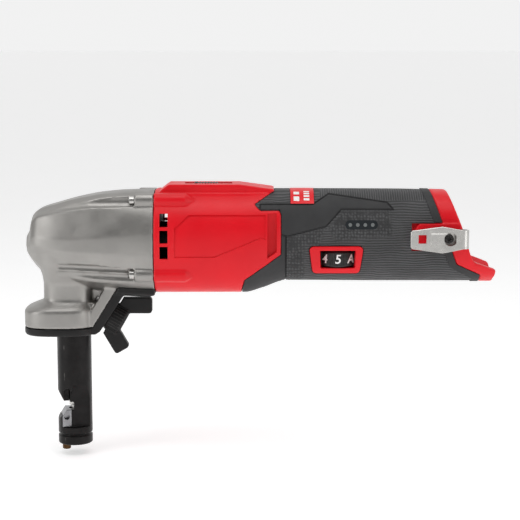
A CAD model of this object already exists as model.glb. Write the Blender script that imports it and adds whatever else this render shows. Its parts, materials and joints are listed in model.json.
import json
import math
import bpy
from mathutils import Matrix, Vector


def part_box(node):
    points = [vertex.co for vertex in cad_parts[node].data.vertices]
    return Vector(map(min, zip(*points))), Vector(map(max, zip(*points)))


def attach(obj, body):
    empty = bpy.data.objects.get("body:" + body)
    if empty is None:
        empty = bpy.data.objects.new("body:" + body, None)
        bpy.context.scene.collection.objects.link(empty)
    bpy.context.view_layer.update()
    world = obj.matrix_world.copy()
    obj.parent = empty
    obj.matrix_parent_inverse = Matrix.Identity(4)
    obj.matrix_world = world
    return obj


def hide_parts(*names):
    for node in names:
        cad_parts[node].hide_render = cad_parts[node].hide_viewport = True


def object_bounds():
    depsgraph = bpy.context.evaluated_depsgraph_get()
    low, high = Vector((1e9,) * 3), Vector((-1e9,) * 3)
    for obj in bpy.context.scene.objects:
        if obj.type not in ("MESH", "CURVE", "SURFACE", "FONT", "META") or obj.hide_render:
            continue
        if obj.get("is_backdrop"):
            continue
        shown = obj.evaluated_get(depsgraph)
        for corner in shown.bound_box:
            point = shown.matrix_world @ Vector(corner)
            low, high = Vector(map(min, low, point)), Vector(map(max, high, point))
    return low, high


bl_info = {
    "name": "Cordless nibbler",
    "version": (1, 0, 0),
    "blender": (4, 5, 0),
    "location": "View3D > Sidebar > Nibbler",
    "description": "Builds the finished pieces of a cordless nibbler round its packed frame",
    "category": "Object",
}

import bmesh
import bpy
import numpy as np
from bpy.props import FloatProperty, FloatVectorProperty, IntProperty, PointerProperty
from mathutils import Matrix, Vector

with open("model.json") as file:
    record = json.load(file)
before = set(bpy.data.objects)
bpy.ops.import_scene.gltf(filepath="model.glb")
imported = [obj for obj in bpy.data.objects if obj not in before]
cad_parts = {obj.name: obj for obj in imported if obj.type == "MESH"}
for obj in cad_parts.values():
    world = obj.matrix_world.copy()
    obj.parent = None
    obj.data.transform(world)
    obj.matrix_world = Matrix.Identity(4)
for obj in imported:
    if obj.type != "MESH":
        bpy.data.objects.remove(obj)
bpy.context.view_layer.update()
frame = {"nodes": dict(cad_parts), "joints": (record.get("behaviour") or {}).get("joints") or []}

MM = 0.001  # shapes are described in millimetres and made in metres


# ---------------------------------------------------------------- places taken from the frame
def span(node):
    """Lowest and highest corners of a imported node, in millimetres."""
    low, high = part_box(node)
    return low / MM, high / MM


def middle(node):
    low, high = span(node)
    return (low + high) / 2


def joint(name):
    return next(j for j in frame["joints"] if j["name"] == name)


GAP = 0.3  # between pieces that meet
MOTOR_Z = middle("rotor_core").z
CASE_JOINT = span("housing_left")[0].x
REAR_TIP = span("housing_left")[1].x
CASE_SEAT = 42.2  # where the case screws' heads sit
CASE_SCREWS = [middle(f"case_screw_{i}") for i in range(1, 5)]
SCREW_HEAD = 2.6
BOSS_RADIUS = 4.8  # round each case screw
HOUSING_SCREWS = [(middle(f"housing_screw_{i}"), span(f"housing_screw_{i}")[1].y - SCREW_HEAD)
                  for i in range(1, 5)]
DIAL = middle("speed_dial")
DIAL_LOW, DIAL_HIGH = span("speed_dial")[0].z, span("speed_dial")[1].z
CLIP_SCREW = middle("clip_screw")
CLAMP_AT = Vector(joint("clamp_turn")["pos_m"]) / MM
CLAMP_AXIS = Vector(joint("clamp_turn")["axis"])
HOLDER_TOP = span("die_holder")[1].z
THROAT_TURN = math.radians(192)  # where the throat faces, about the upright axis
THROAT_LOW, THROAT_HIGH = span("die_insert")[1].z, 28.8
HOLDER_RADIUS = 11.2
HOLDER_BORE = HOLDER_RADIUS + GAP + 0.1
PUNCH_RADIUS = 3.9
PUNCH_BORE = PUNCH_RADIUS + GAP
WINDOW = (161, 182, 119.9, 130.7)  # the dial's window: front, rear, bottom, top
CLIP_ENDS = (133.6, 145.4)  # lower and upper edge of the clip's bend
GAUGE_Z = 147.7
WIDE = 40  # reaches past every piece across the tool


# ---------------------------------------------------------------- sizes, colours and light
def colour(name, description, default):
    return FloatVectorProperty(name=name, description=description, default=default, subtype="COLOR",
                               size=3, min=0.0, max=1.0)


def length(name, description, default):
    return FloatProperty(name=name, description=description, default=default, subtype="DISTANCE",
                         unit="LENGTH", precision=5)


class NibblerColours(bpy.types.PropertyGroup):
    """Base colours of the finishes."""
    cast: colour("Casting", "Blasted and clear coated gear case", (0.33, 0.32, 0.305))
    red: colour("Housing", "Red moulded housing", (0.72, 0.004, 0.012))
    rubber: colour("Grip", "Soft grey grip", (0.034, 0.034, 0.035))
    black: colour("Boot and lever", "Black moulded plastic", (0.008, 0.0075, 0.0075))
    holder: colour("Die holder", "Blackened tool steel", (0.014, 0.013, 0.013))
    steel: colour("Bare steel", "Ground and brushed steel", (0.52, 0.51, 0.49))
    gear: colour("Gear steel", "Hardened gear steel", (0.30, 0.30, 0.31))
    bronze: colour("Bronze", "Bushes and contacts", (0.42, 0.22, 0.09))
    copper: colour("Copper", "Motor windings", (0.55, 0.20, 0.09))
    board: colour("Circuit board", "Lacquered board", (0.014, 0.10, 0.045))
    lens: colour("Gauge lens", "Smoked lens of the charge gauge", (0.020, 0.023, 0.026))
    light: colour("Gauge lights", "Unlit lights of the charge gauge", (0.16, 0.17, 0.17))
    marks: colour("Marks", "Numbers on the dial and bars on the badge", (0.85, 0.85, 0.84))
    floor: colour("Floor", "Pale studio floor", (0.86, 0.86, 0.86))


class NibblerSizes(bpy.types.PropertyGroup):
    """Fineness and surface sizes."""
    casting_voxel: length("Casting fillet", "Fineness of the casting; also rounds its corners", 0.00075)
    moulding_voxel: length("Moulding fillet", "Fineness of the shells; also rounds their corners", 0.0007)
    small_voxel: length("Small part fillet", "Fineness of small turned and pressed parts", 0.00032)
    pebble: length("Pebble pitch", "Distance between the pebbles in the grip texture", 0.0022)
    pebble_height: length("Pebble height", "How far the pebbles stand up", 0.00022)
    ripple: length("Ripple pitch", "Distance between the wavy lines of the grip", 0.0016)
    rib: length("Rib pitch", "Distance between the fine ribs on top of the grip", 0.0015)
    recess: length("Grip recess", "Depth of the textured areas below the smooth bands", 0.00035)
    groove: length("Groove depth", "Depth of the grooves between the areas of the grip", 0.0006)
    dial_ribs: IntProperty(name="Dial ribs", description="Ribs between two numbers", default=4, min=1)


class NibblerStudio(bpy.types.PropertyGroup):
    """Camera and light."""
    distance: length("Camera distance", "From the camera to the middle of the tool", 1.0)
    aim: FloatVectorProperty(name="Camera aim", description="Measured from the middle of the tool",
                             default=(0.0012, 0, 0.0373), size=3, subtype="TRANSLATION", unit="LENGTH")
    tilt: FloatProperty(name="Camera tilt", description="How far it looks down", default=math.radians(8),
                        subtype="ANGLE", unit="ROTATION")
    lens: FloatProperty(name="Lens", description="Focal length on a 36 mm sensor", default=106.2,
                        unit="CAMERA")
    key: FloatProperty(name="Key light", description="Power of the overhead light", default=4.0, unit="POWER")
    near_sky: FloatProperty(name="Sky behind the camera", description="Brightness", default=0.16, min=0)
    far_sky: FloatProperty(name="Sky behind the tool", description="Brightness", default=0.885, min=0)
    glow: FloatProperty(name="Floor glow", description="Light that the floor gives off", default=0.42, min=0)
    side: FloatProperty(name="Side light", description="Power of the side lights", default=3.0, unit="POWER")


# ---------------------------------------------------------------- closed shapes
def linked(name, content):
    """A new object in the scene for a mesh, light, curve or camera."""
    made = bpy.data.objects.new(name, content)
    bpy.context.scene.collection.objects.link(made)
    return made


def circle(u, v, radius, count):
    """Points round a circle."""
    step = 2 * math.pi / count
    return [(u + radius * math.cos(i * step), v + radius * math.sin(i * step)) for i in range(count)]


def shape(points, faces):
    """A closed shape from points in millimetres, with its faces turned outwards."""
    mesh = bpy.data.meshes.new("shape")
    mesh.from_pydata([(x * MM, y * MM, z * MM) for x, y, z in points], [], faces)
    work = bmesh.new()
    work.from_mesh(mesh)
    bmesh.ops.recalc_face_normals(work, faces=work.faces)
    if work.calc_volume(signed=True) < 0:
        bmesh.ops.reverse_faces(work, faces=work.faces)
    work.to_mesh(mesh)
    work.free()
    return linked("shape", mesh)


def placed(axis, along, u, v, centre):
    u, v = u + centre[0], v + centre[1]
    return {"x": (along, u, v), "y": (u, along, v), "z": (u, v, along)}[axis]


def turned(axis, outline, centre=(0, 0), sides=64):
    """A turned shape. Outline points are (place along the axis, radius); a closed outline makes a ring."""
    looped = outline[0] == outline[-1]
    points, rings = [], []
    for along, radius in outline[:-1] if looped else outline:
        count = sides if radius else 1
        rings.append(list(range(len(points), len(points) + count)))
        for i in range(count):
            angle = 2 * math.pi * i / sides
            points.append(placed(axis, along, radius * math.cos(angle), radius * math.sin(angle), centre))
    pairs = list(zip(rings, rings[1:]))
    if looped:
        pairs.append((rings[-1], rings[0]))
    faces = []
    for lower, upper in pairs:
        for i in range(sides):
            j = (i + 1) % sides
            corners = dict.fromkeys([lower[i % len(lower)], lower[j % len(lower)],
                                     upper[j % len(upper)], upper[i % len(upper)]])
            if len(corners) > 2:
                faces.append(list(corners))
    return shape(points, faces)


def rod(axis, start, end, radius, centre=(0, 0), sides=40):
    return turned(axis, [(start, 0), (start, radius), (end, radius), (end, 0)], centre, sides)


def ring(axis, start, end, inner, outer, centre=(0, 0), sides=64):
    outline = [(start, inner), (start, outer), (end, outer), (end, inner), (start, inner)]
    return turned(axis, outline, centre, sides)


def block(x0, x1, y0, y1, z0, z1):
    points = [(x, y, z) for x in (x0, x1) for y in (y0, y1) for z in (z0, z1)]
    return shape(points, [(0, 1, 3, 2), (4, 6, 7, 5), (0, 4, 5, 1), (2, 3, 7, 6), (0, 2, 6, 4), (1, 5, 7, 3)])


def plate(outline, y0, y1):
    """An outline in the side view, (x, z) points, given a thickness across the tool."""
    count = len(outline)
    points = [(x, y, z) for y in (y0, y1) for x, z in outline]
    sides = [(i, (i + 1) % count, (i + 1) % count + count, i + count) for i in range(count)]
    return shape(points, [tuple(range(count)), tuple(range(2 * count - 1, count - 1, -1)), *sides])


def hull(points):
    """The convex shape round the points."""
    work = bmesh.new()
    for x, y, z in points:
        work.verts.new((x * MM, y * MM, z * MM))
    made = bmesh.ops.convex_hull(work, input=work.verts)
    loose = {e for e in made["geom_interior"] + made["geom_unused"] if isinstance(e, bmesh.types.BMVert)}
    bmesh.ops.delete(work, geom=list(loose), context="VERTS")
    bmesh.ops.recalc_face_normals(work, faces=work.faces)
    mesh = bpy.data.meshes.new("hull")
    work.to_mesh(mesh)
    work.free()
    return linked("hull", mesh)


def eased(knots, values, places):
    """Values at the places, on a smooth curve through the knots that never overshoots them."""
    steps = np.diff(knots)
    slopes = np.diff(values) / steps
    tangents = np.concatenate([[slopes[0]], np.zeros(len(slopes) - 1), [slopes[-1]]])
    for i in range(1, len(slopes)):
        if slopes[i - 1] * slopes[i] > 0:
            tangents[i] = 2 * slopes[i - 1] * slopes[i] / (slopes[i - 1] + slopes[i])
    at = np.clip(np.searchsorted(knots, places) - 1, 0, len(steps) - 1)
    t = (places - knots[at]) / steps[at]
    width = steps[at]
    return ((2 * t**3 - 3 * t**2 + 1) * values[at] + (t**3 - 2 * t**2 + t) * width * tangents[at]
            + (3 * t**2 - 2 * t**3) * values[at + 1] + (t**3 - t**2) * width * tangents[at + 1])


def lofted(axis, sections, grow=0.0, squareness=2.4, sides=128, step=1.2, press=None, between=None,
           facets=None):
    """A skin over oval sections (place, low, high, half width).

    press gives how far each point is pressed in, between keeps only the stretch from one place to another,
    and facets are the corners that the sections turn to by the share in their fifth column.
    """
    table = np.array(sections, float)
    if between:
        knots = table[:, 0]
        kept = [between[0], *knots[(knots > between[0]) & (knots < between[1])], between[1]]
        table = np.stack([kept] + [np.interp(kept, knots, column) for column in table.T[1:]], 1)
    count = max(2, int((table[-1, 0] - table[0, 0]) / step))
    places = np.union1d(np.linspace(table[0, 0], table[-1, 0], count), table[:, 0])
    low, high, half = (eased(table[:, 0], table[:, i], places) for i in (1, 2, 3))
    angles = 2 * math.pi * np.arange(sides) / sides
    power = 2 / squareness
    up, out = ((np.sign(way) * np.abs(way) ** power)[None] for way in (np.cos(angles), np.sin(angles)))
    if facets:
        corners = np.array(facets, float)
        at = np.arctan2(corners[:, 1], corners[:, 0])
        turn = np.minimum(angles, 2 * math.pi - angles)
        share = np.interp(places, table[:, 0], table[:, 4])[:, None]
        up = up + share * (np.interp(turn, at, corners[:, 0])[None] - up)
        out = out + share * (np.sign(np.sin(angles)) * np.interp(turn, at, corners[:, 1]) - out)
    along = np.repeat(places[:, None], sides, 1)
    centre = ((low + high) / 2)[:, None]
    across = centre + ((high - low) / 2 + grow)[:, None] * up
    side = (half + grow)[:, None] * out
    if press:
        depth = press(along, side, across)
        reach = np.hypot(across - centre, side)
        across = across - depth * (across - centre) / reach
        side = side - depth * side / reach
    columns = (along, side, across) if axis == "x" else (across, side, along)
    points = np.stack([c.ravel() for c in columns], 1)
    faces = [tuple(range(sides)), tuple(range(len(points) - 1, len(points) - 1 - sides, -1))]
    for i in range(len(places) - 1):
        for k in range(sides):
            n = (k + 1) % sides
            faces.append((i * sides + k, i * sides + n, (i + 1) * sides + n, (i + 1) * sides + k))
    return shape(points.tolist(), faces)


# ---------------------------------------------------------------- working on shapes
def changed(piece, kind, **settings):
    """Gives the piece a modifier and applies it."""
    modifier = piece.modifiers.new(kind, kind)
    for name, value in settings.items():
        setattr(modifier, name, value)
    graph = bpy.context.evaluated_depsgraph_get()
    mesh = bpy.data.meshes.new_from_object(piece.evaluated_get(graph))
    piece.modifiers.clear()
    before = piece.data
    piece.data = mesh
    bpy.data.meshes.remove(before)
    return piece


def discard(piece):
    mesh = piece.data
    bpy.data.objects.remove(piece)
    bpy.data.meshes.remove(mesh)


def copy_of(piece):
    twin = piece.copy()
    twin.data = piece.data.copy()
    bpy.context.scene.collection.objects.link(twin)
    return twin


def combined(piece, others, operation):
    for other in others:
        before = len(piece.data.vertices)
        changed(piece, "BOOLEAN", operation=operation, object=other, solver="MANIFOLD")
        if len(piece.data.vertices) in (0, before):
            raise RuntimeError(f"a {operation.lower()} had no effect")
        discard(other)
    return piece


def join(piece, *others):
    return combined(piece, others, "UNION")


def cut(piece, *others):
    return combined(piece, others, "DIFFERENCE")


def inside(piece, *others):
    return combined(piece, others, "INTERSECT")


def moved(piece, matrix):
    matrix = matrix.copy()
    matrix.translation = matrix.translation * MM
    piece.data.transform(matrix)
    return piece


def both_sides(piece):
    """The piece and its mirror image across the tool."""
    twin = copy_of(piece)
    twin.data.transform(Matrix.Scale(-1, 4, (0, 1, 0)))
    twin.data.flip_normals()
    return piece, twin


def rounded(piece, voxel, passes=4, keep=1.0):
    """Rebuilds the surface evenly, which rounds every corner, then thins flat areas out."""
    changed(piece, "REMESH", mode="VOXEL", voxel_size=voxel)
    changed(piece, "SMOOTH", factor=0.5, iterations=passes)
    if keep < 1:
        changed(piece, "DECIMATE", ratio=keep)
    return piece


def depth_inside(outline, x, z):
    """How far inside an outline each point lies; negative outside."""
    nearest = np.full(x.shape, 1e9)
    crossings = np.zeros(x.shape, int)
    for (ax, az), (bx, bz) in zip(outline, outline[1:] + outline[:1]):
        dx, dz = bx - ax, bz - az
        t = np.clip(((x - ax) * dx + (z - az) * dz) / (dx * dx + dz * dz), 0, 1)
        nearest = np.minimum(nearest, np.hypot(x - ax - t * dx, z - az - t * dz))
        above = (az > z) != (bz > z)
        crossings += above & (x < ax + (z - az) * dx / (dz if dz else 1e-9))
    return np.where(crossings % 2 == 1, nearest, -nearest)


def attribute(piece, name, measure):
    """Stores a number per vertex, worked out from its place in the side view."""
    mesh = piece.data
    points = np.empty(len(mesh.vertices) * 3, np.float32)
    mesh.vertices.foreach_get("co", points)
    x, _, z = (points.reshape(-1, 3) / MM).T
    layer = mesh.attributes.new(name, "FLOAT", "POINT")
    layer.data.foreach_set("value", np.asarray(measure(x, z), np.float32))


def coated(piece, finish):
    """Covers the whole piece with one finish."""
    piece.data.materials.clear()
    piece.data.materials.append(finish_named(finish))
    piece.data.polygons.foreach_set("material_index", [0] * len(piece.data.polygons))
    return piece


def finished(piece, name, body, finish, stands_for=(), sharp=34):
    """Names a piece, ties it to its body and gives it its finish, unless its parts already have theirs."""
    piece.name = name
    piece.data.name = name
    if finish:
        coated(piece, finish)
    piece.data.shade_smooth()
    piece.data.set_sharp_from_angle(angle=math.radians(sharp))
    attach(piece, body)
    if stands_for:
        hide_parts(*stands_for)
    return piece


# ---------------------------------------------------------------- finishes
class Surface:
    """A node material that is put together step by step."""

    def __init__(self, name, tint, roughness, metallic=0.0, spread=0.06, mottle=0.08, mottle_size=18.0):
        self.material = bpy.data.materials.new(name)
        self.material.use_nodes = True
        self.nodes = self.material.node_tree.nodes
        self.links = self.material.node_tree.links
        self.shader = self.nodes["Principled BSDF"]
        self.shader.inputs["Metallic"].default_value = metallic
        self.shader.inputs["Specular IOR Level"].default_value = 0.5 if metallic else 0.3
        self.place = self.nodes.new("ShaderNodeTexCoord").outputs["Object"]
        patches = self.noise(mottle_size, detail=4)
        dark = [c * (1 - mottle) for c in tint] + [1]
        light = [min(1, c * (1 + mottle)) for c in tint] + [1]
        self.tone = self.ramp(patches, [(0.35, dark), (0.65, light)])
        self.gloss = self.spread(self.noise(mottle_size / 3, detail=5), 0.3, 0.7, roughness - spread,
                                 roughness + spread)
        self.height = None

    def noise(self, size, detail=2, stretch=None):
        """Noise whose blotches are about size millimetres."""
        node = self.nodes.new("ShaderNodeTexNoise")
        node.inputs["Scale"].default_value = 1 / (size * MM)
        node.inputs["Detail"].default_value = detail
        place = self.place
        if stretch:
            mapping = self.nodes.new("ShaderNodeMapping")
            mapping.inputs["Scale"].default_value = stretch
            self.links.new(self.place, mapping.inputs["Vector"])
            place = mapping.outputs["Vector"]
        self.links.new(place, node.inputs["Vector"])
        return node.outputs["Fac"]

    def cells(self, size):
        node = self.nodes.new("ShaderNodeTexVoronoi")
        node.inputs["Scale"].default_value = 1 / (size * MM)
        node.inputs["Randomness"].default_value = 0.35
        self.links.new(self.place, node.inputs["Vector"])
        return self.spread(node.outputs["Distance"], 0.1, 0.55, 1, 0)

    def waves(self, pitch, direction, bend=0.0):
        node = self.nodes.new("ShaderNodeTexWave")
        node.bands_direction = direction
        node.inputs["Scale"].default_value = 0.314 / (pitch * MM)
        node.inputs["Distortion"].default_value = bend
        node.inputs["Detail Scale"].default_value = 0.25
        self.links.new(self.place, node.inputs["Vector"])
        return node.outputs["Fac"]

    def ramp(self, source, stops):
        node = self.nodes.new("ShaderNodeValToRGB")
        elements = node.color_ramp.elements
        for element, (at, tint) in zip(elements, stops):
            element.position, element.color = at, tint
        self.links.new(source, node.inputs["Fac"])
        return node.outputs["Color"]

    def spread(self, source, low, high, to_low, to_high):
        node = self.nodes.new("ShaderNodeMapRange")
        for name, value in (("From Min", low), ("From Max", high), ("To Min", to_low), ("To Max", to_high)):
            node.inputs[name].default_value = value
        self.links.new(source, node.inputs["Value"])
        return node.outputs["Result"]

    def math(self, operation, first, second):
        node = self.nodes.new("ShaderNodeMath")
        node.operation = operation
        for socket, value in zip(node.inputs, (first, second)):
            if isinstance(value, (int, float)):
                socket.default_value = value
            else:
                self.links.new(value, socket)
        return node.outputs["Value"]

    def painted(self, name):
        node = self.nodes.new("ShaderNodeAttribute")
        node.attribute_name = name
        return node.outputs["Fac"]

    def relief(self, source, depth):
        """Adds a height pattern, depth millimetres from its lowest to its highest."""
        part = self.math("MULTIPLY", source, depth)
        self.height = part if self.height is None else self.math("ADD", self.height, part)

    def mixed(self, kind, factor, over):
        """Mixes a second colour over the tone so far."""
        mix = self.nodes.new("ShaderNodeMix")
        mix.data_type = "RGBA"
        mix.blend_type = kind
        base, top = (socket for socket in mix.inputs if socket.type == "RGBA")
        self.links.new(self.tone, base)
        for socket, value in ((mix.inputs["Factor"], factor), (top, over)):
            if isinstance(value, (int, tuple)):
                socket.default_value = value
            else:
                self.links.new(value, socket)
        self.tone = next(o for o in mix.outputs if o.type == "RGBA")

    def worn(self, tint, roughness, amount=1.0):
        """Lightens the exposed edges, broken up by noise."""
        edges = self.nodes.new("ShaderNodeNewGeometry").outputs["Pointiness"]
        edge = self.spread(edges, 0.52, 0.60, 0.0, amount)
        patch = self.spread(self.noise(2.0, detail=6), 0.35, 0.65, 0.2, 1.0)
        wear = self.math("MULTIPLY", edge, patch)
        self.mixed("MIX", wear, (*tint, 1))
        self.gloss = self.math("ADD", self.gloss, self.math("MULTIPLY", wear, roughness))

    def shaded(self, source, share):
        """Multiplies the colour by up to the share where the source is high."""
        self.mixed("MULTIPLY", 1, self.spread(source, 0, 1, 1, share))

    def done(self, coat=0.0, coat_roughness=0.3):
        self.links.new(self.tone, self.shader.inputs["Base Color"])
        self.links.new(self.gloss, self.shader.inputs["Roughness"])
        if self.height is not None:
            bump = self.nodes.new("ShaderNodeBump")
            bump.inputs["Distance"].default_value = MM
            self.links.new(self.height, bump.inputs["Height"])
            self.links.new(bump.outputs["Normal"], self.shader.inputs["Normal"])
        self.shader.inputs["Coat Weight"].default_value = coat
        self.shader.inputs["Coat Roughness"].default_value = coat_roughness
        return self.material


def finish_named(name):
    """The finish of that name, made the first time it is asked for."""
    return bpy.data.materials.get(name) or FINISHES[name](bpy.context.scene.nibbler_colours)


def cast_finish(colours):
    metal = Surface("blasted casting", colours.cast, 0.42, metallic=0.9, mottle=0.05, mottle_size=22)
    metal.relief(metal.noise(0.45, detail=3), 0.035)
    metal.relief(metal.noise(6, detail=3), 0.05)
    metal.worn((0.55, 0.54, 0.52), -0.08, 0.5)
    return metal.done()


def red_finish(colours):
    plastic = Surface("red moulding", colours.red, 0.40, mottle=0.04, mottle_size=30)
    plastic.relief(plastic.noise(0.35, detail=3), 0.012)
    plastic.relief(plastic.noise(9), 0.03)
    plastic.worn((0.86, 0.10, 0.10), -0.04, 0.35)
    return plastic.done()


def rubber_finish(colours):
    sizes = bpy.context.scene.nibbler_sizes
    rubber = Surface("grip rubber", colours.rubber, 0.62, spread=0.05, mottle=0.10, mottle_size=14)
    patterns = {"pebbles": rubber.cells(sizes.pebble / MM * 0.9), "ribs": rubber.waves(sizes.rib / MM, "X"),
                "ripples": rubber.waves(sizes.ripple / MM, "Z", bend=7.0)}
    bright = None
    for name, pattern in patterns.items():
        masked = rubber.math("MULTIPLY", rubber.painted(name), pattern)
        rubber.relief(masked, 0.35)
        bright = masked if bright is None else rubber.math("ADD", bright, masked)
    rubber.shaded(bright, 2.6)
    rubber.shaded(rubber.painted("grooves"), 0.1)
    rubber.relief(rubber.noise(0.3, detail=3), 0.015)
    return rubber.done()


def black_finish(colours):
    plastic = Surface("black moulding", colours.black, 0.48, mottle=0.12, mottle_size=10)
    plastic.relief(plastic.noise(0.4, detail=3), 0.03)
    plastic.worn((0.07, 0.068, 0.066), 0.05, 0.6)
    return plastic.done()


def holder_finish(colours):
    steel = Surface("blackened steel", colours.holder, 0.36, metallic=0.8, spread=0.08, mottle=0.2,
                    mottle_size=7)
    steel.relief(steel.noise(0.5, detail=4, stretch=(1, 1, 6)), 0.010)
    steel.worn((0.14, 0.135, 0.13), -0.05, 0.5)
    return steel.done()


def steel_finish(colours):
    steel = Surface("bare steel", colours.steel, 0.30, metallic=1.0, spread=0.07, mottle=0.08, mottle_size=6)
    steel.relief(steel.noise(0.6, detail=5, stretch=(0.08, 1, 1)), 0.012)
    steel.worn((0.75, 0.74, 0.72), -0.05, 0.15)
    return steel.done()


def gear_finish(colours):
    steel = Surface("gear steel", colours.gear, 0.34, metallic=1.0, mottle=0.10, mottle_size=5)
    steel.relief(steel.noise(0.4, detail=4, stretch=(1, 0.1, 0.1)), 0.01)
    return steel.done()


def bronze_finish(colours):
    metal = Surface("bronze", colours.bronze, 0.36, metallic=1.0, spread=0.09, mottle=0.16, mottle_size=3)
    metal.relief(metal.noise(0.4, detail=4), 0.012)
    return metal.done()


def burnished_finish(colours):
    tint = [c * 0.2 for c in colours.bronze]
    metal = Surface("burnished screw", tint, 0.34, metallic=0.9, mottle=0.2, mottle_size=2)
    metal.relief(metal.noise(0.4, detail=4), 0.012)
    return metal.done()


def copper_finish(colours):
    wire = Surface("enamelled wire", colours.copper, 0.32, metallic=0.9, mottle=0.1, mottle_size=3)
    wire.relief(wire.waves(0.6, "X", bend=0.4), 0.12)
    return wire.done(coat=0.4)


def board_finish(colours):
    board = Surface("circuit board", colours.board, 0.35, mottle=0.25, mottle_size=2.5)
    board.relief(board.cells(1.6), 0.05)
    return board.done(coat=0.3)


def lens_finish(colours):
    lens = Surface("smoked lens", colours.lens, 0.22, spread=0.05, mottle=0.1, mottle_size=5)
    lens.relief(lens.noise(0.5, detail=2), 0.004)
    return lens.done(coat=0.3, coat_roughness=0.15)


def light_finish(colours):
    light = Surface("gauge light", colours.light, 0.3, mottle=0.05, mottle_size=2)
    light.relief(light.noise(0.3, detail=2), 0.004)
    return light.done(coat=0.3)


def marks_finish(colours):
    paint = Surface("white print", colours.marks, 0.55, mottle=0.03, mottle_size=3)
    paint.relief(paint.noise(0.2, detail=2), 0.004)
    return paint.done()


FINISHES = {
    "blasted casting": cast_finish,
    "red moulding": red_finish,
    "grip rubber": rubber_finish,
    "black moulding": black_finish,
    "blackened steel": holder_finish,
    "bare steel": steel_finish,
    "gear steel": gear_finish,
    "bronze": bronze_finish,
    "burnished screw": burnished_finish,
    "enamelled wire": copper_finish,
    "circuit board": board_finish,
    "smoked lens": lens_finish,
    "gauge light": light_finish,
    "white print": marks_finish,
}


# ---------------------------------------------------------------- outer forms shared by several pieces
# Sections along the tool: place, lowest, highest, half width.
BARREL = [(-28.9, 127.5, 139, 9), (-26.7, 124, 142.5, 13.6), (-24.7, 121.5, 151.5, 17.2),
          (-20, 116.5, 155.9, 20.5), (-9, 110.5, 159.4, 24.2), (5, 105.5, 163.2, 26.6),
          (20, 103.4, 166.2, 28.6), (34, 102.4, 167.8, 29.7), (CASE_JOINT - GAP, 101.6, 168.5, 30.4)]
# One side of the faceted nose as (up, out) from top to bottom, and how much of it each section keeps.
FACETS = [(1, 0), (1, 0.36), (0.8, 0.78), (0.16, 1), (-0.17, 1), (-0.78, 0.72), (-1, 0.36), (-1, 0)]
FACETED = (1, 1, 1, 1, 1, 1, 0.85, 0.35, 0)
# Sections up the neck: height, front, rear, half width.
NECK = [(79.7, -31.2, 15, 21.5), (90, -31.2, 15, 21.5), (97.5, -18.7, 12.9, 15.8), (107, -18.7, 13, 16),
        (112, -19.2, 15, 18), (117, -20.6, 18, 20.6), (122, -23, 22, 22.4), (128, -25, 26, 23)]
BODY = [(CASE_JOINT, 101.4, 168.6, 30.5), (112, 101.5, 168.6, 30.4), (124, 104.6, 168.9, 29),
        (138, 109, 169, 26.6), (205, 108.6, 168.8, 25.5), (REAR_TIP, 108.6, 167, 25.5)]
GRIP_START = [(131.3, 176), (131.3, 168), (118.8, 160.4), (122.4, 156.6), (134.4, 156.6), (135.6, 154.2),
              (135.6, 128.8), (112.4, 112.2), (110.6, 105), (110.6, 94)]
GRIP_END = [(259, 94), (258.4, 111.6), (243.2, 120.2), (240, 128.5), (223.2, 176)]
FOOT_START = [(263.6, 94), (263.2, 114.6), (247.4, 122.2), (245, 128.5), (228.6, 176)]
BODY_OUTLINE = [(50, 90), (271.6, 90), (271.6, 110.2), (REAR_TIP, 116.6), (272.3, 118.4), (258.6, 123.4),
                (256, 128), (251.6, 142.6), (242.2, 167.2), (240, 176), (50, 176)]
GRIP_SKIN = 2.2  # thickness of the soft grip
WALL = 2.4  # thickness of the red shell


def slid(outline, by):
    return [(x + by, z) for x, z in outline]


def barrel(grow=0.0):
    return lofted("x", BARREL, grow)


def body(grow=0.0, **settings):
    return lofted("x", BODY, grow, **settings)


def clamp_frame():
    """Places a shape built along +Z on the clamp's axis."""
    turn = Vector((0, 0, 1)).rotation_difference(CLAMP_AXIS).to_matrix().to_4x4()
    return Matrix.Translation(CLAMP_AT) @ turn


def throat_frame():
    """Turns a shape built with its throat towards +X to where the throat faces."""
    return Matrix.Rotation(THROAT_TURN, 4, "Z")


# ---------------------------------------------------------------- gear case and its cover
def channel(screw, radius, *ends):
    """A slanted groove beside a screw. Each end is a place, a share of the screw's Y and a rise over it."""
    return hull([(x, y, z) for x, out, rise in ends
                 for y, z in circle(screw.y * out, screw.z + rise, radius, 24)])


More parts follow.
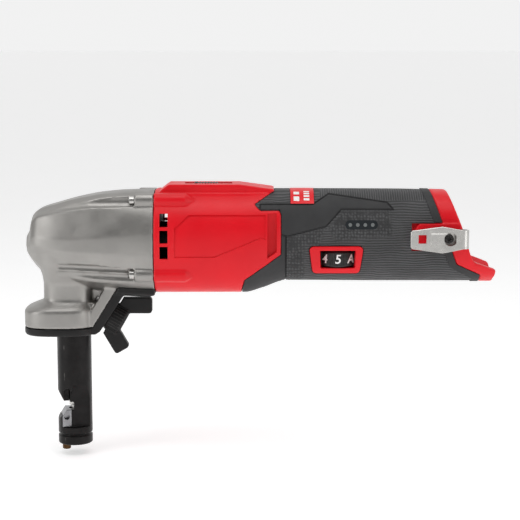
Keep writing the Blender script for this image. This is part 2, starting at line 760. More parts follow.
def gear_case():
    shell = lofted("x", [(*section, share) for section, share in zip(BARREL, FACETED)], facets=FACETS)
    join(shell, lofted("z", NECK, squareness=3.0, step=0.8))
    join(shell, plate([(7, 80), (14, 79.7), (31, 107), (31, 112), (24, 112), (24, 109)], -15, 15))
    join(shell, plate([(6, 84), (20, 104), (27, 112), (6, 112)], -6, 6))
    join(shell, rod("y", -12.5, 12.5, 2.4, (13.2, 93.6)))
    for screw in CASE_SCREWS:
        join(shell, rod("x", CASE_SEAT, CASE_JOINT - GAP, BOSS_RADIUS, (screw.y, screw.z)))
    for screw in CASE_SCREWS[:2]:
        cut(shell, rod("x", 12, CASE_SEAT, 4.5, (screw.y * 1.02, screw.z)))
        cut(shell, channel(screw, 4.5, (-16, 0.84, -3.6), (12.5, 1.02, 0)))
    for screw in CASE_SCREWS[2:]:
        cut(shell, channel(screw, 2.6, (-8, 0.92, 4.2), (CASE_SEAT, 1, 2.3)))
        cut(shell, channel(screw, 2.6, (-8, 0.87, -0.4), (CASE_SEAT, 0.97, -2.5)))
    rounded(shell, bpy.context.scene.nibbler_sizes.casting_voxel, passes=5, keep=0.6)
    chamber = inside(barrel(-3), block(-14, 25.8, -17, 17, 112.2, 158.4))
    cut(shell, rod("x", -22.8, -13, 9.3, (0, MOTOR_Z)), chamber,
        rod("x", 25.7, 36.7, 16.3, (0, MOTOR_Z)),
        rod("x", 36.6, 42.9, 19.2, (0, MOTOR_Z)),
        rod("x", 42.8, 60, 25.3, (0, MOTOR_Z)),
        rod("z", 97, 113, 10.5), rod("z", 70, 97.2, HOLDER_BORE, sides=96),
        moved(rod("z", -16, 2, 3.4), clamp_frame()))
    for screw in CASE_SCREWS:
        centre = (screw.y, screw.z)
        cut(shell, rod("x", 37.6, CASE_SEAT, 4.5, centre), rod("x", 40, 56, 2.1, centre))
    finished(shell, "case_casting", "housing", "blasted casting", ["gear_case"])


def lower_cover():
    flange = [(74.6, -30.2, 14.4, 20.6), (75.4, -31, 15, 21.3), (76.2, -31.3, 15.2, 21.6),
              (79.4, -31.2, 15.2, 21.5)]
    boot = lofted("z", flange, squareness=3.0, step=0.4)
    join(boot, plate([(10, 75), (15.5, 75), (18.5, 77), (33, 99), (34.4, 101), (29.4, 105.6), (13.4, 79.4),
                      (10, 79.4)], -15, 15))
    strip = plate([(29, 98.9), (50, 98.9), (CASE_JOINT - GAP, 101), (CASE_JOINT - GAP, 108), (31.4, 108),
                   (30.4, 104.6), (28, 100.6)], -17, 17)
    join(boot, inside(strip, barrel(3.4)))
    rounded(boot, 0.00055, passes=3, keep=0.5)
    cut(boot, rod("z", 70, 82, HOLDER_BORE, sides=96), moved(rod("z", -10, 10, 3.4), clamp_frame()),
        barrel(GAP + 0.1), moved(rod("z", -0.15, 12, 10.3, sides=64), clamp_frame()))
    cut(boot, plate([(7, 81), (7, 79.6), (14.1, 79.6), (31.1, 107), (31.1, 112), (24, 112)], -16, 16))
    finished(boot, "head_boot", "housing", "black moulding", ["lower_cover"])


# ---------------------------------------------------------------- housing and grips
def grip_zone(start, end):
    return plate(start + end, -WIDE, WIDE)


def collar_zone(front, rear):
    return plate(slid(GRIP_END, front) + slid(FOOT_START, rear)[::-1], -WIDE, WIDE)


def screw_boss(screw):
    """A round band over a case screw, with a tapered rear end."""
    outline = [(CASE_JOINT, 0), (CASE_JOINT, BOSS_RADIUS), (74.5, BOSS_RADIUS), (81, 0.8), (81, 0)]
    return turned("x", outline, (screw.y, screw.z), sides=48)


def housing_forms():
    """The outer form of both halves before they are hollowed."""
    form = body(step=1.6)
    for screw in CASE_SCREWS:
        join(form, screw_boss(screw))
    rails = [(58, 160), (58, 168.3), (63.4, 172.3), (109, 172.3), (131.3, 169.2), (131.3, 160)]
    join(form, plate(rails, -13, 13))
    cut(form, grip_zone(slid(GRIP_START, -GAP), FOOT_START))
    join(form, inside(body(-GRIP_SKIN - GAP), block(110, 264, -WIDE, WIDE, 90, 180)))
    join(form, inside(body(-1.3), collar_zone(GAP, 3)))
    clip_pad = [(221, 133.6), (249.5, 133.6), (249.5, 148.4), (223, 148.4), (221, 146)]
    join(form, inside(plate(clip_pad, -32, -20), body(0.6)))
    inside(form, plate(BODY_OUTLINE, -WIDE, WIDE))
    rounded(form, bpy.context.scene.nibbler_sizes.moulding_voxel, passes=5, keep=0.5)
    return form


def side_panels():
    """Shallow recess on each side for the maker's panel, left plain."""
    outline = [(76.7, 154.2), (125.4, 154.2), (125.4, 138.6), (122.2, 139.4), (100.1, 130.4), (93, 127.4),
               (67.6, 127.4), (67.6, 145.8)]
    deep = inside(plate(outline, -WIDE, WIDE), body(2))
    return cut(deep, body(-0.8, step=1.6))


def housing():
    shell = housing_forms()
    cut(shell, side_panels())
    cut(shell, body(-GRIP_SKIN - GAP - WALL, step=4))
    cut(shell, inside(body(-WALL - 0.4, step=4), block(50, 118, -WIDE, WIDE, 90, 180)))
    towers = [rod("y", -30, 30, 3.6, (spot.x, spot.z)) for spot, _ in HOUSING_SCREWS]
    for tower in towers:
        join(shell, inside(tower, body(-GRIP_SKIN - GAP - 0.5, step=4)))
    for screw in CASE_SCREWS:
        start = CASE_JOINT + 0.01
        boss = turned("x", [(start, 0), (start, 4.6), (74, 4.6), (79.5, 1.5), (79.5, 0)], (screw.y, screw.z))
        join(shell, inside(boss, body(-0.6, step=4)))
    seat = ring("x", 119.6, 126.8, 8.4, 11, (0, MOTOR_Z))
    join(seat, *(inside(block(120, 122.4, min(y), max(y), MOTOR_Z - 8, MOTOR_Z + 8), body(-2, step=4))
                 for y in ((8.5, 28), (-28, -8.5))))
    join(shell, seat)
    for screw in CASE_SCREWS:
        cut(shell, rod("x", 50, 77, 1.9, (screw.y, screw.z)))
    for spot, seat_at in HOUSING_SCREWS:
        cut(shell, rod("y", -12, WIDE, 1.9, (spot.x, spot.z)), rod("y", seat_at, WIDE, 3.3, (spot.x, spot.z)))
    for low, high in ((146.6, 155), (136.4, 144.6), (126.4, 134.4)):
        cut(shell, block(58.4, 63.6, -WIDE, WIDE, low, high))
    rear_vent = plate([(126.6, 155), (132.6, 155), (132.6, 130.5), (126.6, 126.5)], 23.7, WIDE)
    cut(shell, *both_sides(rear_vent))
    cut(shell, block(73.5, 104, -4.4, 4.4, 160, 180), surround_plate(0.3),
        rod("y", -WIDE, -18, 1.9, (CLIP_SCREW.x, CLIP_SCREW.z)), block(158, 185, -30, 4, 119.8, 130.9),
        rod("z", 117.2, 121, 4.3, (DIAL.x, DIAL.y)))
    split(shell, "red_shell", "housing", "red moulding")


def split(whole, name, stands_for, finish):
    """Parts a shell along the middle of the tool into a left and a right half."""
    other = copy_of(whole)
    halves = (("left", inside(whole, block(40, 290, -60, -GAP / 2, 80, 190))),
              ("right", inside(other, block(40, 290, GAP / 2, 60, 80, 190))))
    for side, half in halves:
        finished(half, f"{name}_{side}", "housing", finish, [f"{stands_for}_{side}"])


# Side outlines of the smooth bands on the grip, and of the pebbled patches.
SMOOTH_BAND = [(122, 160.6), (155.4, 160.4), (165.8, 166.4), (202.8, 161.6), (206.7, 157.3), (173.6, 157.3),
               (163.8, 146.8), (139.1, 140.6), (134.5, 142), (134.5, 156.9), (122, 156.9)]
SMOOTH_FRONT = [(134, 158), (138.2, 158), (138.2, 112), (134, 107), (108, 100), (108, 114), (134, 130)]
PEBBLED_FRONT = [(139, 140), (163, 146), (160, 134.6), (150, 134.6), (150.5, 113), (139, 108)]
PEBBLED_GAUGE = [(165, 146), (174.5, 156.5), (204, 156.5), (206, 141), (170, 137)]


def blended(depth, width=0.8):
    """From 0 outside an edge to 1 inside it."""
    return np.clip(depth / width + 0.5, 0, 1)


def smoothed(x, z):
    return np.maximum(*(blended(depth_inside(band, x, z)) for band in (SMOOTH_BAND, SMOOTH_FRONT)))


def pebbled(x, z):
    return np.maximum(*(blended(depth_inside(patch, x, z), 3) for patch in (PEBBLED_FRONT, PEBBLED_GAUGE)))


def ribbed(x, z):
    """The fine ribs along the top of the grip."""
    return blended(z - 162.5, 1.0) * blended(x - 160)


def grooved(x, z):
    """Where the fine grooves run: round the smooth bands and down the seam behind the red shell."""
    seam = np.where((z >= 109) & (z <= 141.5), np.abs(x - 138.4), 9)
    return blended(0.42 - np.minimum(np.abs(depth_inside(SMOOTH_BAND, x, z)), seam), 0.5) * (x > 112)


def grip_press(x, y, z):
    """How far the grip's surface lies below its smooth bands."""
    sizes = bpy.context.scene.nibbler_sizes
    smooth = smoothed(x, z)
    pitch = 2 * math.pi / (sizes.pebble / MM)
    pebbles = np.cos(pitch * (x + z) / 2) * np.cos(pitch * (x - z) / 2) * pebbled(x, z)
    return (sizes.recess / MM * (1 - smooth) - sizes.pebble_height / MM * (1 - smooth) * pebbles
            + sizes.groove / MM * grooved(x, z))


def grips():
    whole = body(step=0.5, sides=320, press=grip_press, between=(108, 262))
    inside(whole, grip_zone(GRIP_START, GRIP_END))
    cut(whole, body(-GRIP_SKIN, step=1.2))
    badge_room = cut(block(141.1, 156.6, -WIDE, WIDE, 160.4, 180), body(-1.1))
    cut(whole, badge_room, gauge_plate(0.04), surround_plate(0.45),
        block(218.2, 260, -WIDE, -18, 130.9, 148.7))
    for spot, _ in HOUSING_SCREWS:
        cut(whole, rod("y", 5, WIDE, 3.6, (spot.x, spot.z)))
    attribute(whole, "pebbles", lambda x, z: pebbled(x, z) * (1 - smoothed(x, z)))
    attribute(whole, "ribs", lambda x, z: ribbed(x, z) * (1 - smoothed(x, z)))
    attribute(whole, "ripples", lambda x, z: (1 - pebbled(x, z)) * (1 - ribbed(x, z)) * (1 - smoothed(x, z)))
    attribute(whole, "grooves", grooved)
    split(whole, "soft_grip", "grip", "grip rubber")


def no_pattern(piece):
    """Marks a piece as free of the grip's patterns."""
    for name in ("pebbles", "ripples", "ribs", "grooves"):
        attribute(piece, name, lambda x, z: np.zeros(x.shape))
    return piece


def battery_collar():
    band = inside(cut(body(0.2), body(-1)), collar_zone(-0.35, -GAP))
    cut(band, block(218.6, 262, -60, -15, 133, 149))
    no_pattern(rounded(band, 0.0004, passes=2, keep=0.5))
    finished(band, "rear_collar", "housing", "grip rubber", ["battery_collar"])


def top_badge():
    plaque = inside(cut(body(-0.1, step=0.8, sides=192), body(-0.9)),
                    block(141.4, 156.3, -WIDE, WIDE, 160.8, 180))
    marks = []
    layer = cut(body(0.12, step=0.8), body(-0.5))
    for x0, x1, height, starts in ((143.4, 147, 2.8, (11, 16)), (149.8, 153.4, 1.2, (10, 12.4, 14.8, 17.2))):
        for side in (-1, 1):
            for start in starts:
                ends = sorted((side * start, side * (start + height)))
                marks.append(inside(block(x0, x1, *ends, 160, 180), copy_of(layer)))
    discard(layer)
    together(coated(plaque, "red moulding"), [coated(mark, "white print") for mark in marks])
    finished(plaque, "badge_plate", "housing", None, ["top_badge"])


def together(piece, others):
    """Puts separate closed shapes into one piece, each with its own finish."""
    work = bmesh.new()
    for part in (piece, *others):
        start = len(work.faces)
        names = [m.name for m in piece.data.materials]
        for made in part.data.materials:
            if made.name not in names:
                piece.data.materials.append(made)
                names.append(made.name)
        work.from_mesh(part.data)
        work.faces.ensure_lookup_table()
        for face in work.faces[start:]:
            face.material_index = names.index(part.data.materials[face.material_index].name)
    work.to_mesh(piece.data)
    work.free()
    for other in others:
        discard(other)
    return piece


def surround_plate(grow=0.0):
    """The rounded outline of the dial's frame, thick enough to cut with."""
    corner = 2.6
    spots = ((156, 131.4), (184.8, 131.4), (183.1, 118.6), (157.9, 118.6))
    return hull([(x, y, z) for spot in spots for x, z in circle(*spot, corner + grow, 16)
                 for y in (-WIDE, -17)])


def dial_bezel():
    frame_plate = cut(inside(surround_plate(), body(0.7)), body(-GRIP_SKIN - 1))
    front, rear, bottom, top = WINDOW
    window = hull([(x, y, z) for y, grow in ((-19, 0), (-30, 1.6)) for x in (front - grow, rear + grow)
                   for z in (bottom - grow * 0.6, top + grow * 0.6)])
    cut(frame_plate, window, block(front, rear, -22, -15, bottom, top))
    rounded(frame_plate, 0.0003, passes=3, keep=0.4)
    finished(frame_plate, "dial_surround", "housing", "red moulding", ["dial_bezel"])


def number(text, height):
    """A printed figure as a closed shape in the XY plane, centred, in millimetres."""
    curve = bpy.data.curves.new("figure", "FONT")
    curve.body = text
    curve.size = height / 0.7
    curve.shear = 0.12
    curve.offset = 0.12
    curve.align_x, curve.align_y = "CENTER", "CENTER"
    curve.extrude = 0.15
    curve.resolution_u = 6
    holder = linked("figure", curve)
    graph = bpy.context.evaluated_depsgraph_get()
    mesh = bpy.data.meshes.new_from_object(holder.evaluated_get(graph))
    bpy.data.objects.remove(holder)
    work = bmesh.new()
    work.from_mesh(mesh)
    bmesh.ops.remove_doubles(work, verts=work.verts, dist=1e-5)
    work.to_mesh(mesh)
    work.free()
    return linked("figure", mesh)


def speed_dial():
    """The numbered wheel: smooth patches with figures, fine ribs between them."""
    ribs = bpy.context.scene.nibbler_sizes.dial_ribs
    radius, stop = 12.9, math.radians(40)
    outline = [(DIAL_LOW, 0), (DIAL_LOW, 11.9), (DIAL_LOW + 0.8, radius), (DIAL_HIGH - 0.8, radius),
               (DIAL_HIGH, 11.9), (DIAL_HIGH, 0)]
    wheel = turned("z", outline, (DIAL.x, DIAL.y), sides=144)
    facing = -math.pi / 2
    for patch in range(9):
        for i in range(ribs):
            angle = facing + stop * (patch + 0.5) + math.radians(4.6) * (i - (ribs - 1) / 2)
            at = (DIAL.x + radius * math.cos(angle), DIAL.y + radius * math.sin(angle))
            join(wheel, rod("z", DIAL_LOW + 0.9, DIAL_HIGH - 0.9, 0.34, at, sides=8))
    cut(wheel, rod("z", DIAL_LOW - 1, DIAL_HIGH + 1, 2.3, (DIAL.x, DIAL.y)))
    figures = []
    for i, text in enumerate("12345A"):
        figure = number(text, 5.6)
        angle_at = facing + stop * (i - 4)
        for vertex in figure.data.vertices:
            across, up, out = vertex.co
            angle = angle_at + across / radius
            reach = radius + out
            vertex.co = (MM * (DIAL.x + reach * math.cos(angle)), MM * (DIAL.y + reach * math.sin(angle)),
                         MM * (DIAL.z + up))
        figures.append(coated(figure, "white print"))
    together(coated(wheel, "black moulding"), figures)
    finished(wheel, "numbered_dial", "dial", None, ["speed_dial"])


def gauge_plate(grow=0.0):
    """The long rounded outline of the charge gauge, thick enough to cut with."""
    return hull([(x, y, z) for end in (178.9, 193.8) for x, z in circle(end, GAUGE_Z, 2.9 + grow, 20)
                 for y in (-WIDE, -21)])


def charge_gauge():
    lens = cut(inside(gauge_plate(), body(-0.4, step=0.8)), body(-GRIP_SKIN + 0.2))
    lights = []
    for i in range(4):
        dot = rod("y", -WIDE, -21, 1.15, (179.2 + 4.75 * i, GAUGE_Z), sides=24)
        inside(dot, cut(body(-0.1, step=0.8), body(-0.6, step=0.8)))
        lights.append(coated(dot, "gauge light"))
    together(coated(lens, "smoked lens"), lights)
    finished(lens, "gauge_strip", "housing", None, ["charge_gauge"])


def slide_switch():
    low, high = span("slide_switch")
    top = high.z - 1
    ridges = [(79, low.z), (79, top - 1), (80, top)]
    for x in np.arange(81.6, 92.5, 1.8):
        ridges += [(x, top), (x + 0.4, top - 0.7), (x + 0.9, top - 0.7), (x + 1.3, top)]
    ridges += [(94, top), (95, top - 1), (95, low.z)]
    knob = rounded(plate(ridges, -4, 4), 0.00026, passes=2, keep=0.4)
    finished(knob, "switch_knob", "switch", "black moulding", ["slide_switch"])


# ---------------------------------------------------------------- cutting head
def die_holder():
    radius = HOLDER_RADIUS
    tube = turned("z", [(0, 0), (0, 2.2), (0.4, 2.2), (0.4, 10.4), (1, radius), (6, radius), (6.5, 10.2),
                        (7.4, 10.2), (7.9, radius), (86, radius), (86, 9.9), (88, 9.9), (88, radius),
                        (HOLDER_TOP, radius), (HOLDER_TOP, 0)], sides=128)
    flat, step_at, scoop = 7, 2.9, 17  # the flats' distance from the middle, their step, the run-out's radius
    cut(tube, *both_sides(block(-13, 13, flat, 13, 12.3, 30)))
    cut(tube, *both_sides(block(step_at, 13, flat, 13, 12.3, 36.8)))
    hollow = inside(rod("x", -13, step_at, scoop, (flat + scoop, 30), sides=96),
                    block(-14, step_at, flat - 1, 13, 12.4, 46))
    cut(tube, *both_sides(hollow))
    cut(tube, block(1.5, 13, -13, 13, THROAT_LOW, THROAT_HIGH),
        plate([(7.4, THROAT_HIGH - 0.1), (12, 37.6), (12, THROAT_HIGH - 0.1)], -13, 13),
        plate([(6.4, THROAT_LOW + 0.1), (12, 16), (12, THROAT_LOW + 0.1)], -13, 13))
    cut(tube, *both_sides(block(4.1, 7.6, 2.4, 13, THROAT_HIGH - 1, 36.6)))
    cut(tube, *both_sides(rod("y", 2.4, 13, 1.75, (5.85, 36.6), sides=24)))
    rounded(tube, bpy.context.scene.nibbler_sizes.small_voxel, passes=2, keep=0.45)
    cut(tube, rod("z", 61, 97, 7.6, sides=64), rod("z", 20, 62, PUNCH_BORE, sides=64),
        block(-4.9, 9.3, -5.6, 5.6, 11.9, THROAT_LOW + 1), rod("z", -1, 13, 1.8, (6, 0)))
    cut(tube, *both_sides(block(step_at, 9.3, 5, 13, 11.9, THROAT_LOW + 1)))
    moved(tube, throat_frame())
    finished(tube, "punch_tube", "die", "blackened steel", ["die_holder"])


def die_insert():
    jaw = block(-4.6, 9, -5.3, 5.3, 12.2, THROAT_LOW)
    join(jaw, *both_sides(block(3.2, 9, 5, 6.9, 12.2, THROAT_LOW)))
    cut(jaw, plate([(6.2, THROAT_LOW + 0.1), (11, 16.2), (11, THROAT_LOW + 0.1)], -9, 9))
    rounded(jaw, 0.0002, passes=2, keep=0.4)
    cut(jaw, rod("z", 11, 30, PUNCH_BORE, sides=64), rod("y", -9, -3.4, 1.9, (6.2, 18.9), sides=48),
        rod("y", 3.4, 9, 1.9, (6.2, 18.9), sides=48), rod("z", 11, 15.6, 1.8, (6, 0)))
    moved(jaw, throat_frame())
    finished(jaw, "lower_jaw", "die", "gear steel", ["die_insert"])


def die_screw():
    head = turned("z", [(-3.8, 0), (-3.8, 2.3), (-3.4, 2.75), (-0.6, 2.75), (-0.2, 2.4), (-0.2, 1.5),
                        (15.2, 1.5), (15.2, 0)], (6, 0), sides=48)
    cut(head, rod("z", -5, -2.2, 1.3, (6, 0), sides=6))
    moved(head, throat_frame())
    finished(head, "foot_screw", "die", "burnished screw", ["die_screw"])


def punch():
    tool = turned("z", [(22.4, 0), (22.4, 2.4), (22.6, 2.6), (25.5, 2.6), (25.8, PUNCH_RADIUS - 0.1),
                        (26, PUNCH_RADIUS), (60, PUNCH_RADIUS), (62, 2.9), (86.8, 2.9), (86.8, 4.5),
                        (87, 4.7), (90.2, 4.7), (90.4, 4.5), (90.4, 0)], sides=72)
    finished(tool, "cutting_punch", "punch", "bare steel", ["punch"])


def wing_lever():
    hub = turned("z", [(-0.1, 0), (-0.1, 9.4), (0.9, 9.5), (8.8, 9.5), (10.6, 7.5), (10.6, 0)], sides=96)
    wing = [(-5.2, 2), (5.2, 2), (5.2, 22.9), (4.7, 24), (3.6, 24.5), (-3.6, 24.5), (-4.7, 24), (-5.2, 22.9)]
    for side, out, short in ((-1, 7.2, 0), (1, 5.0, 2.2)):
        blade = plate([(x, z - (short if z > 20 else 0)) for x, z in wing], -3, 3)
        tilt = Matrix.Translation((side * out, 0, -0.6)) @ Matrix.Rotation(side * math.radians(30), 4, "Y")
        blade = inside(moved(blade, tilt), block(-40, 40, -5, 5, 1.8, 40))
        join(hub, blade)
    rounded(hub, 0.0004, passes=4, keep=0.45)
    for spot in circle(0, 0, 9.42, 30):
        join(hub, turned("z", [(0.9, 0), (1.2, 0.36), (8.6, 0.36), (9, 0)], spot, sides=8))
    cut(hub, rod("z", -1, 8, 3 + GAP))
    moved(hub, clamp_frame())
    finished(hub, "clamp_lever", "clamp", "black moulding", ["wing_lever"])


# ---------------------------------------------------------------- clip, screws and contacts
def belt_clip():
    near, far, thick = -36, -28.2, 1.3
    low, high = CLIP_ENDS
    bend = 250
    outline = [(216.6, 134.8), (217.6, 133.7), (222, 133.2), (228, 132.6), (232, 131.8), (236.5, 131),
               (240, 131.6), (243, 132.6), (246, 133.3), (bend, low), (bend, high), (246, 145.7),
               (243, 146.4), (240, 147.2), (236.5, 147.8), (232, 147), (228, 146.3), (222, 145.8),
               (217.6, 145.3), (216.6, 144.2)]
    edge = [(233.3 + (x - 233.3) * 0.985, 139.5 + (z - 139.5) * 0.965) for x, z in outline]
    clip = hull([(x, y, z) for x, z in outline for y in (near + 0.25, near + thick)]
                + [(x, near, z) for x, z in edge])
    hem = ring("z", low, high, 2.6, 3.9, (bend - GAP, (near + far) / 2), sides=96)
    join(clip, inside(hem, block(bend - 2 * GAP, 260, -WIDE, -20, 130, 150)),
         block(230, bend, far - thick, far, low, high))
    panel = hull([(x, near - 0.3 + lift, z) for lift, grow in ((0, 0), (0.8, 0.8))
                  for x in (229.6 - grow, 240) for z in (136.2 - grow, 143.2 + grow)])
    join(clip, panel)
    hole = inside(rod("y", near - 1, near + 2, 4.2, (241.6, 139.7), sides=64),
                  block(237.6, 245.2, -WIDE, -30, 130, 150))
    cut(clip, block(221.4, 226.4, near - 1, near + 2, 137.2, 142.6), hole,
        rod("y", far - 3, far + 1, 2, (CLIP_SCREW.x, CLIP_SCREW.z)))
    finished(clip, "steel_clip", "housing", "bare steel", ["belt_clip"])


def six_lobed_head(axis, start, end, radius, centre):
    """A round screw head with a six-lobed socket at its start."""
    step = math.copysign(1, end - start)
    outline = [(start, 0), (start, radius - 0.5), (start + step * 0.5, radius), (end, radius), (end, 0)]
    head = turned(axis, outline, centre, sides=48)
    ends = sorted((start - step, start + step * 1.3))
    for lobe in circle(*centre, 0.95, 6):
        cut(head, rod(axis, *ends, 0.42, lobe, sides=12))
    return cut(head, rod(axis, *ends, 1.0, centre, sides=24))


def screws():
    for i, spot in enumerate(CASE_SCREWS, 1):
        head = six_lobed_head("x", 38.6, 41.9, 2.9, (spot.y, spot.z))
        join(head, rod("x", 41.8, 75, 1.6, (spot.y, spot.z), sides=24))
        finished(head, f"long_screw_{i}", "housing", "bare steel", [f"case_screw_{i}"])
    for i, (spot, seat) in enumerate(HOUSING_SCREWS, 1):
        head = six_lobed_head("y", seat + SCREW_HEAD, seat + GAP, 3.0, (spot.x, spot.z))
        join(head, rod("y", -11, seat + 0.5, 1.6, (spot.x, spot.z), sides=24))
        finished(head, f"shell_screw_{i}", "housing", "bare steel", [f"housing_screw_{i}"])
    head = six_lobed_head("y", -31.9, -29.8, 3.1, (CLIP_SCREW.x, CLIP_SCREW.z))
    join(head, rod("y", -30, -21.5, 1.6, (CLIP_SCREW.x, CLIP_SCREW.z), sides=24))
    finished(head, "hanger_screw", "housing", "blackened steel", ["clip_screw"])


def battery_contacts():
    carrier = rounded(block(198.6, 202.4, -17, 17, 123.5, 155), 0.0004, passes=2, keep=0.3)
    for i in range(1, 4):
        blade = middle(f"contact_{i}")
        cut(carrier, block(190, 210, blade.y - 0.8, blade.y + 0.8, 132.7, 145.3))
        outline = ((196, 0.5, 0), (212.6, 0.5, 0), (214, 0.15, 0.6))
        tip = hull([(x, blade.y + y, z) for x, half, slope in outline
                    for y in (-half, half) for z in (133 + slope, 145 - slope)])
        finished(tip, f"contact_blade_{i}", "housing", "bronze", [f"contact_{i}"])
    finished(carrier, "contact_carrier", "housing", "black moulding", ["terminal_block"])


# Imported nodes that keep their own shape, by finish.
INNER_NODES = {
    "bare steel": ["ram", "snap_ring", "clamp_screw", "crank_roller", "front_crank_bearing",
                   "rear_crank_bearing", "planet_pin_1", "planet_pin_2", "planet_pin_3",
                   "front_motor_bearing", "rear_motor_bearing"],
    "gear steel": ["crankshaft", "ring_gear", "planet_gear_1", "planet_gear_2", "planet_gear_3",
                   "rotor_shaft", "motor_stator"],
    "blackened steel": ["rotor_core"],
    "black moulding": ["cooling_fan", "motor_plate", "speed_control", "switch_rod", "switch_module"],
    "bronze": ["ram_bush"],
    "enamelled wire": ["motor_windings"],
    "circuit board": ["control_board"],
}


def inner_works():
    for finish, nodes in INNER_NODES.items():
        for node in nodes:
            kept = frame["nodes"][node]
            kept.data.materials.clear()
            kept.data.materials.append(finish_named(finish))


# ---------------------------------------------------------------- stage
def soft_light(name, power, size, place, target):
    light = bpy.data.lights.new(name, "AREA")
    light.shape = "RECTANGLE"
    light.size, light.size_y = size
    light.energy = power
    lamp = linked(name, light)
    lamp.location = place
    lamp.rotation_euler = (Vector(target) - Vector(place)).to_track_quat("-Z", "Y").to_euler()


def studio():
    scene = bpy.context.scene
    settings, colours = scene.nibbler_studio, scene.nibbler_colours
    low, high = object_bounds()
    centre = (Vector(low) + Vector(high)) / 2
    aim = Vector((centre.x, 0, centre.z)) + Vector(settings.aim)

    ground = low[2] / MM - 3  # a little below the tool
    floor = block(-30000, 30000, -20000, 60000, ground - 3, ground)
    floor.name = "floor"
    paint = Surface("floor paint", colours.floor, 0.7, mottle=0.005, mottle_size=200)
    paint.shader.inputs["Emission Color"].default_value = (1, 1, 1, 1)
    paint.shader.inputs["Emission Strength"].default_value = settings.glow
    floor.data.materials.append(paint.done())
    floor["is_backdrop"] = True

    world = bpy.data.worlds.new("studio")
    world.use_nodes = True
    scene.world = world
    nodes, links = world.node_tree.nodes, world.node_tree.links
    way = nodes.new("ShaderNodeSeparateXYZ")
    links.new(nodes.new("ShaderNodeTexCoord").outputs["Generated"], way.inputs["Vector"])
    # Darker behind the camera, so that the metal shows some contrast.
    ramp = nodes.new("ShaderNodeValToRGB")
    for stop, at, level in zip(ramp.color_ramp.elements, (0.40, 0.75), (settings.near_sky, settings.far_sky)):
        stop.position, stop.color = at, (level, level, level, 1)
    half = nodes.new("ShaderNodeMapRange")
    half.inputs["From Min"].default_value = -1
    links.new(way.outputs["Y"], half.inputs["Value"])
    links.new(half.outputs["Result"], ramp.inputs["Fac"])
    links.new(ramp.outputs["Color"], nodes["Background"].inputs["Color"])

    soft_light("overhead", settings.key, (0.9, 0.6), (0.10, -0.25, 0.95), aim)
    soft_light("left_side", settings.side, (0.5, 0.8), (-0.75, -0.55, 0.45), aim)
    soft_light("right_side", settings.side * 0.7, (0.5, 0.8), (0.95, -0.55, 0.35), aim)

    camera = bpy.data.cameras.new("camera")
    camera.lens, camera.sensor_width = settings.lens, 36
    camera.clip_start, camera.clip_end = 0.01, 200
    viewer = linked("camera", camera)
    back = Vector((0, -math.cos(settings.tilt), math.sin(settings.tilt)))
    viewer.location = aim + back * settings.distance
    viewer.rotation_euler = (-back).to_track_quat("-Z", "Y").to_euler()
    scene.camera = viewer
    scene.view_settings.view_transform = "Standard"


# ---------------------------------------------------------------- operators and panel
class NIBBLER_OT_gear_case(bpy.types.Operator):
    """Cast gear case with its screw channels"""
    bl_idname = "nibbler.gear_case"
    bl_label = "Gear case"

    def execute(self, context):
        gear_case()
        return {"FINISHED"}


class NIBBLER_OT_head_boot(bpy.types.Operator):
    """Black boot under the gear case"""
    bl_idname = "nibbler.head_boot"
    bl_label = "Head boot"

    def execute(self, context):
        lower_cover()
        return {"FINISHED"}


class NIBBLER_OT_housing(bpy.types.Operator):
    """Both halves of the red motor housing"""
    bl_idname = "nibbler.housing"
    bl_label = "Housing"

    def execute(self, context):
        housing()
        return {"FINISHED"}


class NIBBLER_OT_grips(bpy.types.Operator):
    """Both soft grip halves with their textures"""
    bl_idname = "nibbler.grips"
    bl_label = "Grips"

    def execute(self, context):
        grips()
        return {"FINISHED"}


class NIBBLER_OT_collar(bpy.types.Operator):
    """Grey band between the grip and the red foot"""
    bl_idname = "nibbler.collar"
    bl_label = "Battery collar"

    def execute(self, context):
        battery_collar()
        return {"FINISHED"}


class NIBBLER_OT_badge(bpy.types.Operator):
    """Red plate on top of the handle with plain bars"""
    bl_idname = "nibbler.badge"
    bl_label = "Top badge"

    def execute(self, context):
        top_badge()
        return {"FINISHED"}


class NIBBLER_OT_bezel(bpy.types.Operator):
    """Red frame round the dial's window"""
    bl_idname = "nibbler.bezel"
    bl_label = "Dial surround"

    def execute(self, context):
        dial_bezel()
        return {"FINISHED"}


class NIBBLER_OT_dial(bpy.types.Operator):
    """Ribbed wheel with its numbers"""
    bl_idname = "nibbler.dial"
    bl_label = "Speed dial"

    def execute(self, context):
        speed_dial()
        return {"FINISHED"}


class NIBBLER_OT_gauge(bpy.types.Operator):
    """Smoked strip with four lights"""
    bl_idname = "nibbler.gauge"
    bl_label = "Charge gauge"

    def execute(self, context):
        charge_gauge()
        return {"FINISHED"}


class NIBBLER_OT_switch_knob(bpy.types.Operator):
    """Ridged knob of the slide switch"""
    bl_idname = "nibbler.switch_knob"
    bl_label = "Switch knob"

    def execute(self, context):
        slide_switch()
        return {"FINISHED"}


class NIBBLER_OT_punch_tube(bpy.types.Operator):
    """Blackened tube with the throat"""
    bl_idname = "nibbler.punch_tube"
    bl_label = "Die holder"

    def execute(self, context):
        die_holder()
        return {"FINISHED"}


class NIBBLER_OT_jaw(bpy.types.Operator):
    """Steel cutting die in the throat"""
    bl_idname = "nibbler.jaw"
    bl_label = "Lower jaw"

    def execute(self, context):
        die_insert()
        return {"FINISHED"}


class NIBBLER_OT_foot_screw(bpy.types.Operator):
    """Screw that holds the lower jaw"""
    bl_idname = "nibbler.foot_screw"
    bl_label = "Foot screw"

    def execute(self, context):
        die_screw()
        return {"FINISHED"}


class NIBBLER_OT_cutting_punch(bpy.types.Operator):
    """Steel punch that shows in the throat"""
    bl_idname = "nibbler.cutting_punch"
    bl_label = "Punch"

    def execute(self, context):
        punch()
        return {"FINISHED"}


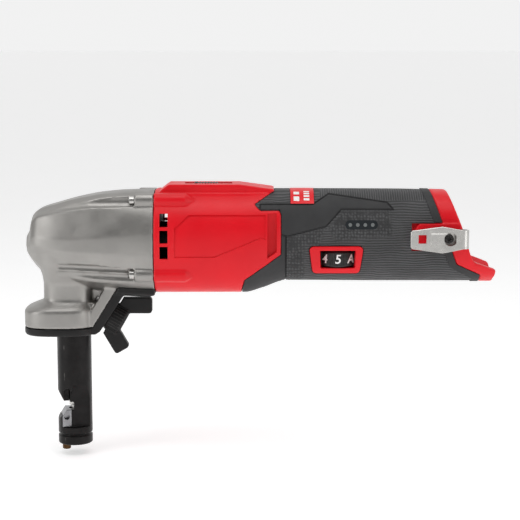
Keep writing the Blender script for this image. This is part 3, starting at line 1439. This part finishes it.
class NIBBLER_OT_lever(bpy.types.Operator):
    """Two-winged clamp lever with a ribbed hub"""
    bl_idname = "nibbler.lever"
    bl_label = "Wing lever"

    def execute(self, context):
        wing_lever()
        return {"FINISHED"}


class NIBBLER_OT_clip(bpy.types.Operator):
    """Pressed steel clip"""
    bl_idname = "nibbler.clip"
    bl_label = "Belt clip"

    def execute(self, context):
        belt_clip()
        return {"FINISHED"}


class NIBBLER_OT_screws(bpy.types.Operator):
    """Case, shell and clip screws"""
    bl_idname = "nibbler.screws"
    bl_label = "Screws"

    def execute(self, context):
        screws()
        return {"FINISHED"}


class NIBBLER_OT_contacts(bpy.types.Operator):
    """Blades and their carrier in the battery bay"""
    bl_idname = "nibbler.contacts"
    bl_label = "Battery contacts"

    def execute(self, context):
        battery_contacts()
        return {"FINISHED"}


class NIBBLER_OT_inner_works(bpy.types.Operator):
    """Finishes for the drive train, motor and controls"""
    bl_idname = "nibbler.inner_works"
    bl_label = "Inner works"

    def execute(self, context):
        inner_works()
        return {"FINISHED"}


class NIBBLER_OT_studio(bpy.types.Operator):
    """Floor, light and camera"""
    bl_idname = "nibbler.studio"
    bl_label = "Studio"

    def execute(self, context):
        studio()
        return {"FINISHED"}


OPERATORS = (
    NIBBLER_OT_gear_case,
    NIBBLER_OT_head_boot,
    NIBBLER_OT_housing,
    NIBBLER_OT_grips,
    NIBBLER_OT_collar,
    NIBBLER_OT_badge,
    NIBBLER_OT_bezel,
    NIBBLER_OT_dial,
    NIBBLER_OT_gauge,
    NIBBLER_OT_switch_knob,
    NIBBLER_OT_punch_tube,
    NIBBLER_OT_jaw,
    NIBBLER_OT_foot_screw,
    NIBBLER_OT_cutting_punch,
    NIBBLER_OT_lever,
    NIBBLER_OT_clip,
    NIBBLER_OT_screws,
    NIBBLER_OT_contacts,
    NIBBLER_OT_inner_works,
    NIBBLER_OT_studio,
)


class NIBBLER_PT_panel(bpy.types.Panel):
    """Sizes, colours, light and the pieces in the order they are made"""
    bl_idname = "NIBBLER_PT_panel"
    bl_label = "Nibbler"
    bl_space_type = "VIEW_3D"
    bl_region_type = "UI"
    bl_category = "Nibbler"

    def draw(self, context):
        scene = context.scene
        for group in (scene.nibbler_sizes, scene.nibbler_colours, scene.nibbler_studio):
            box = self.layout.box()
            for name in group.bl_rna.properties.keys():
                if name not in ("rna_type", "name"):
                    box.prop(group, name)
        for operator in OPERATORS:
            self.layout.operator(operator.bl_idname)


CLASSES = (NibblerColours, NibblerSizes, NibblerStudio, *OPERATORS, NIBBLER_PT_panel)


def register():
    for made in CLASSES:
        bpy.utils.register_class(made)
    bpy.types.Scene.nibbler_colours = PointerProperty(type=NibblerColours)
    bpy.types.Scene.nibbler_sizes = PointerProperty(type=NibblerSizes)
    bpy.types.Scene.nibbler_studio = PointerProperty(type=NibblerStudio)


def unregister():
    del bpy.types.Scene.nibbler_colours
    del bpy.types.Scene.nibbler_sizes
    del bpy.types.Scene.nibbler_studio
    for made in reversed(CLASSES):
        bpy.utils.unregister_class(made)


def corners(box):
    return [list(corner) for corner in box]


def main():
    register()
    for operator in OPERATORS:
        call = getattr(bpy.ops.nibbler, operator.bl_idname.split(".")[1])
        if call() != {"FINISHED"}:
            raise RuntimeError(f"{operator.bl_label} could not be made")


if __name__ == "__main__":
    main()
